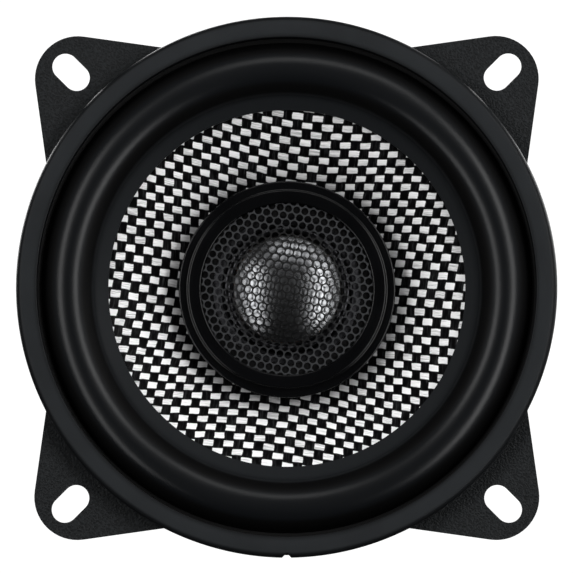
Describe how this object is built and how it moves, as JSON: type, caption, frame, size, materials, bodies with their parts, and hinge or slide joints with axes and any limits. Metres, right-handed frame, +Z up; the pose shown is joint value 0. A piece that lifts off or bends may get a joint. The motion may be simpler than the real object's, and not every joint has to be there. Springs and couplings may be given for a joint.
{
  "type": "coaxial car speaker",
  "caption": "Round car speaker with a square of slotted ears, a woven cone in a rubber surround and a dome tweeter on a central post.",
  "frame": {"origin": "on the speaker's axis, at the rear face of the mounting flange", "axes": "+Y points out of the rear face towards the motor, -Y is the way the speaker faces, +Z is up and +X is the terminal side"},
  "size_m": [0.103, 0.0549, 0.103],
  "materials": {
    "basket_paint": "black textured powder coat on steel",
    "trim_plastic": "matte dark grey with a fine grain",
    "surround_rubber": "smooth satin black rubber",
    "cone_weave": "coarse plain weave of silver-white yarns over black ones, clear coated",
    "former_foil": "amber polyimide film",
    "copper_wire": "enamelled copper wire",
    "spider_cloth": "resin-treated cotton cloth",
    "tinsel_braid": "braided copper tinsel",
    "motor_steel": "clear zinc plate on turned steel",
    "ferrite": "ground dark grey ferrite",
    "plated_steel": "bright zinc plate",
    "post_metal": "black anodised",
    "tweeter_plastic": "moulded black",
    "rim_plastic": "glossy black",
    "grille_steel": "satin black paint on perforated sheet",
    "dome_edge": "coated dark cloth",
    "dome_foil": "bright metallised film",
    "neodymium": "nickel plated",
    "board_fibre": "black fibre board",
    "gold_brass": "gold-coloured plate",
    "tinned_brass": "tinned",
    "capacitor_sleeve": "dark blue shrink sleeve",
    "tinned_wire": "tinned copper wire",
    "lead_insulation": "black insulated wire"
  },
  "bodies": {
    "frame": {"basket": "basket_paint", "trim_ring": "trim_plastic", "surround": "surround_rubber", "spider": "spider_cloth", "tinsel_leads": "tinsel_braid", "front_plate": "motor_steel", "magnet": "ferrite", "yoke": "motor_steel", "basket_rivets": "plated_steel", "tweeter_post": "post_metal", "post_washer": "plated_steel", "post_nut": "plated_steel", "tweeter_housing": "tweeter_plastic", "tweeter_screws": "plated_steel", "tweeter_rim": "rim_plastic", "tweeter_grille": "grille_steel", "dome_carrier": "tweeter_plastic", "dome_surround": "dome_edge", "pole_cap": "motor_steel", "tweeter_magnet": "neodymium", "tweeter_yoke": "motor_steel", "terminal_board": "board_fibre", "positive_terminal": "gold_brass", "negative_terminal": "tinned_brass", "terminal_eyelets": "gold_brass", "terminal_rivets": "plated_steel", "capacitor": "capacitor_sleeve", "capacitor_leads": "tinned_wire", "tweeter_leads": "lead_insulation"},
    "cone": {"cone": "cone_weave", "former": "former_foil", "voice_coil": "copper_wire"},
    "dome": {"dome": "dome_foil", "tweeter_coil": "copper_wire"}
  },
  "joints": [
    {"name": "cone_travel", "type": "slide", "parent": "frame", "child": "cone", "axis": [0, -1, 0], "range_m": [-0.003, 0.003], "stiffness_N_per_m": 1500, "deforming": ["surround", "spider", "tinsel_leads"]},
    {"name": "dome_travel", "type": "slide", "parent": "frame", "child": "dome", "axis": [0, -1, 0], "range_m": [-0.0003, 0.0003], "stiffness_N_per_m": 200, "deforming": ["dome_surround"]}
  ]
}
